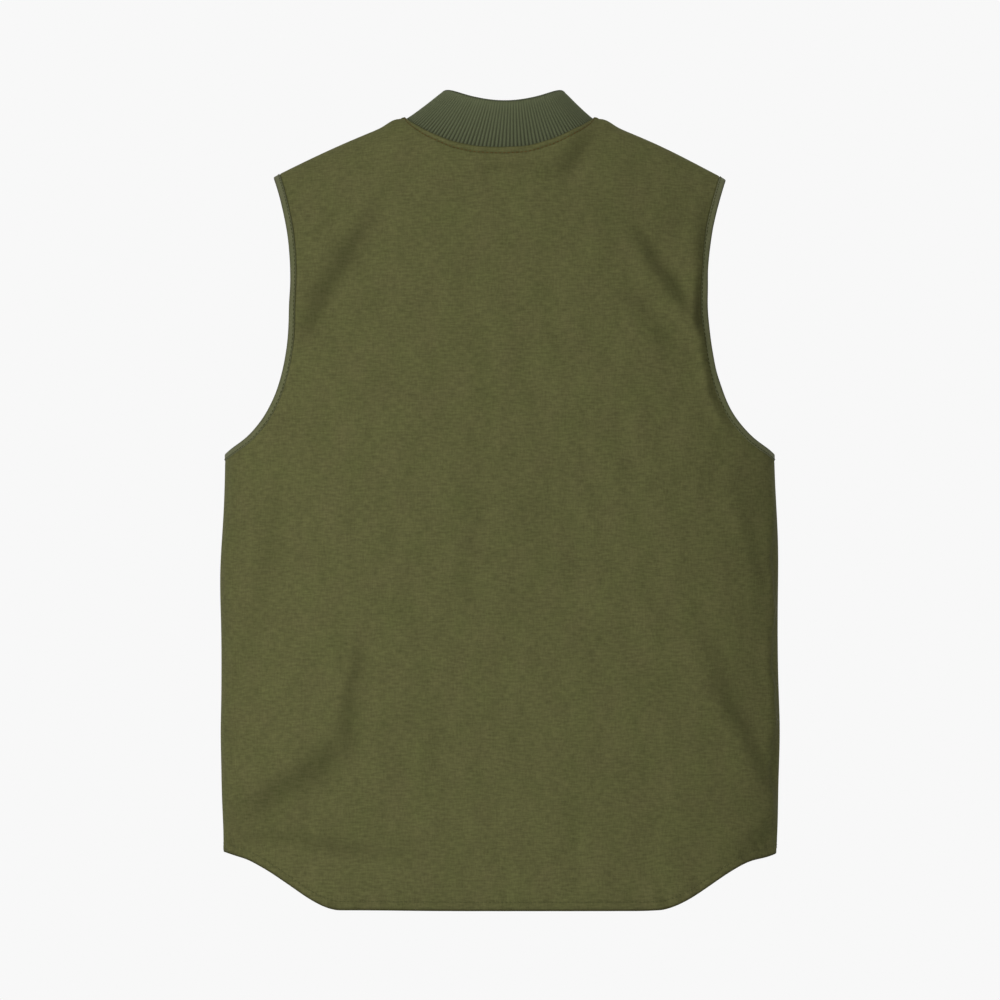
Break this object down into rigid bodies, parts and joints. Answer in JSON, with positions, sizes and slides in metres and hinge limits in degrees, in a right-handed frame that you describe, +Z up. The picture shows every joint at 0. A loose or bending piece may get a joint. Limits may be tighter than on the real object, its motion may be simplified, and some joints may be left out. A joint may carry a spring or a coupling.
{
  "type": "canvas work vest",
  "caption": "Sleeveless canvas work vest with a drop-tail back, rib-knit stand collar, tape-bound armholes and a closed front zip, in the form it has when worn.",
  "frame": {"origin": "midway between the two neck points, where the shoulder seams meet the collar", "axes": "+X to the wearer's right, +Y to the wearer's front, +Z up"},
  "size_m": [0.501, 0.1851, 0.738],
  "materials": {
    "canvas": "matt plain-weave cotton canvas, olive",
    "rib_knit": "matt rib knit, grey olive",
    "binding_tape": "matt folded woven tape, grey olive",
    "zip": "woven tape with satin moulded teeth, dark olive"
  },
  "bodies": {
    "root": {"back_panel": "canvas", "front_panel_left": "canvas", "front_panel_right": "canvas", "collar": "rib_knit", "armhole_binding_left": "binding_tape", "armhole_binding_right": "binding_tape", "front_zip": "zip"}
  },
  "joints": []
}
